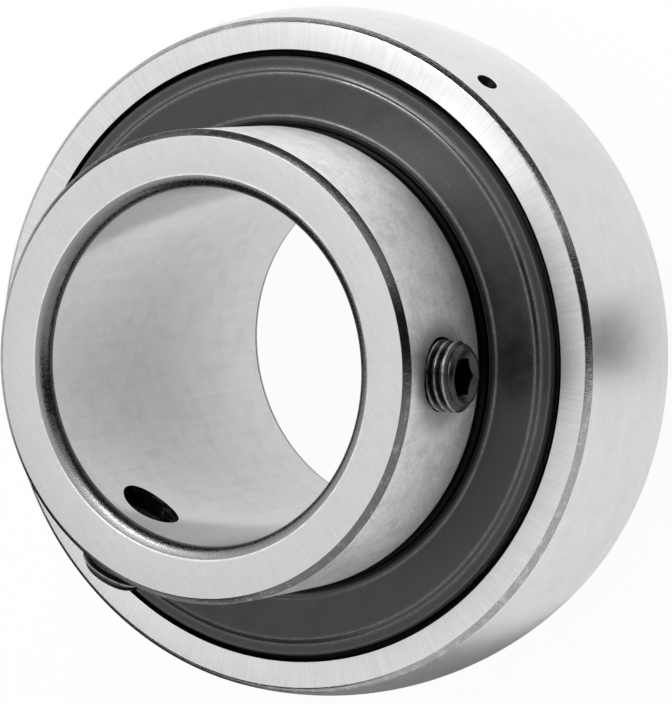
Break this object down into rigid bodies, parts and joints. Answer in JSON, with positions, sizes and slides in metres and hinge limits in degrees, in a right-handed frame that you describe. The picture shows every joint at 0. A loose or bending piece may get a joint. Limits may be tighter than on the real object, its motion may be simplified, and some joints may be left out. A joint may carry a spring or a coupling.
{
  "type": "insert bearing",
  "caption": "Ball bearing insert with a spherical outside, a long inner ring locked to its shaft by set screws, and dark flingers over rubber seals.",
  "frame": {"origin": "centre of the spherical seat on the shaft axis, in the plane of the balls", "axes": "+Z along the shaft axis towards the long end of the inner ring, +X through the first set screw"},
  "size_m": [0.08, 0.08, 0.0492],
  "materials": {
    "bearing_steel_outer": "ground satin",
    "bearing_steel_inner": "ground satin",
    "ball_steel": "polished",
    "cage_steel": "pressed sheet",
    "rivet_steel": "cold formed",
    "seal_steel": "pressed sheet",
    "seal_rubber": "matt",
    "flinger_black": "satin black coat",
    "screw_black": "black oxide"
  },
  "bodies": {
    "outer_ring": {"outer_ring": "bearing_steel_outer", "seal_core_front": "seal_steel", "seal_core_rear": "seal_steel", "seal_rubber_front": "seal_rubber", "seal_rubber_rear": "seal_rubber"},
    "inner_ring": {"inner_ring": "bearing_steel_inner", "flinger_front": "flinger_black", "flinger_rear": "flinger_black"},
    "cage": {"cage_front": "cage_steel", "cage_rear": "cage_steel", "cage_rivet_1": "rivet_steel", "cage_rivet_2": "rivet_steel", "cage_rivet_3": "rivet_steel", "cage_rivet_4": "rivet_steel", "cage_rivet_5": "rivet_steel", "cage_rivet_6": "rivet_steel", "cage_rivet_7": "rivet_steel", "cage_rivet_8": "rivet_steel", "cage_rivet_9": "rivet_steel"},
    "ball_1": {"ball_1": "ball_steel"},
    "ball_2": {"ball_2": "ball_steel"},
    "ball_3": {"ball_3": "ball_steel"},
    "ball_4": {"ball_4": "ball_steel"},
    "ball_5": {"ball_5": "ball_steel"},
    "ball_6": {"ball_6": "ball_steel"},
    "ball_7": {"ball_7": "ball_steel"},
    "ball_8": {"ball_8": "ball_steel"},
    "ball_9": {"ball_9": "ball_steel"},
    "set_screw_1": {"set_screw_1": "screw_black"},
    "set_screw_2": {"set_screw_2": "screw_black"}
  },
  "joints": [
    {"name": "inner_ring_spin", "type": "hinge", "parent": "outer_ring", "child": "inner_ring", "pos_m": [0, 0, 0], "axis": [0, 0, 1], "continuous": true},
    {"name": "cage_spin", "type": "hinge", "parent": "outer_ring", "child": "cage", "pos_m": [0, 0, 0], "axis": [0, 0, 1], "continuous": true},
    {"name": "ball_1_spin", "type": "hinge", "parent": "cage", "child": "ball_1", "pos_m": [0.03, 0, 0], "axis": [0, 0, 1], "continuous": true},
    {"name": "ball_2_spin", "type": "hinge", "parent": "cage", "child": "ball_2", "pos_m": [0.02298, 0.01928, 0], "axis": [0, 0, 1], "continuous": true},
    {"name": "ball_3_spin", "type": "hinge", "parent": "cage", "child": "ball_3", "pos_m": [0.00521, 0.02954, 0], "axis": [0, 0, 1], "continuous": true},
    {"name": "ball_4_spin", "type": "hinge", "parent": "cage", "child": "ball_4", "pos_m": [-0.015, 0.02598, 0], "axis": [0, 0, 1], "continuous": true},
    {"name": "ball_5_spin", "type": "hinge", "parent": "cage", "child": "ball_5", "pos_m": [-0.02819, 0.01026, 0], "axis": [0, 0, 1], "continuous": true},
    {"name": "ball_6_spin", "type": "hinge", "parent": "cage", "child": "ball_6", "pos_m": [-0.02819, -0.01026, 0], "axis": [0, 0, 1], "continuous": true},
    {"name": "ball_7_spin", "type": "hinge", "parent": "cage", "child": "ball_7", "pos_m": [-0.015, -0.02598, 0], "axis": [0, 0, 1], "continuous": true},
    {"name": "ball_8_spin", "type": "hinge", "parent": "cage", "child": "ball_8", "pos_m": [0.00521, -0.02954, 0], "axis": [0, 0, 1], "continuous": true},
    {"name": "ball_9_spin", "type": "hinge", "parent": "cage", "child": "ball_9", "pos_m": [0.02298, -0.01928, 0], "axis": [0, 0, 1], "continuous": true},
    {"name": "set_screw_1_travel", "type": "slide", "parent": "inner_ring", "child": "set_screw_1", "axis": [1, 0, 0], "range_m": [-0.0014, 0.003]},
    {"name": "set_screw_2_travel", "type": "slide", "parent": "inner_ring", "child": "set_screw_2", "axis": [-0.5373, -0.8434, 0], "range_m": [-0.0017, 0.003]}
  ],
  "couplings": [
    {"joint": "cage_spin", "follows": "inner_ring_spin", "ratio": 0.4},
    {"joint": "ball_1_spin", "follows": "inner_ring_spin", "ratio": -2.4},
    {"joint": "ball_2_spin", "follows": "inner_ring_spin", "ratio": -2.4},
    {"joint": "ball_3_spin", "follows": "inner_ring_spin", "ratio": -2.4},
    {"joint": "ball_4_spin", "follows": "inner_ring_spin", "ratio": -2.4},
    {"joint": "ball_5_spin", "follows": "inner_ring_spin", "ratio": -2.4},
    {"joint": "ball_6_spin", "follows": "inner_ring_spin", "ratio": -2.4},
    {"joint": "ball_7_spin", "follows": "inner_ring_spin", "ratio": -2.4},
    {"joint": "ball_8_spin", "follows": "inner_ring_spin", "ratio": -2.4},
    {"joint": "ball_9_spin", "follows": "inner_ring_spin", "ratio": -2.4}
  ]
}
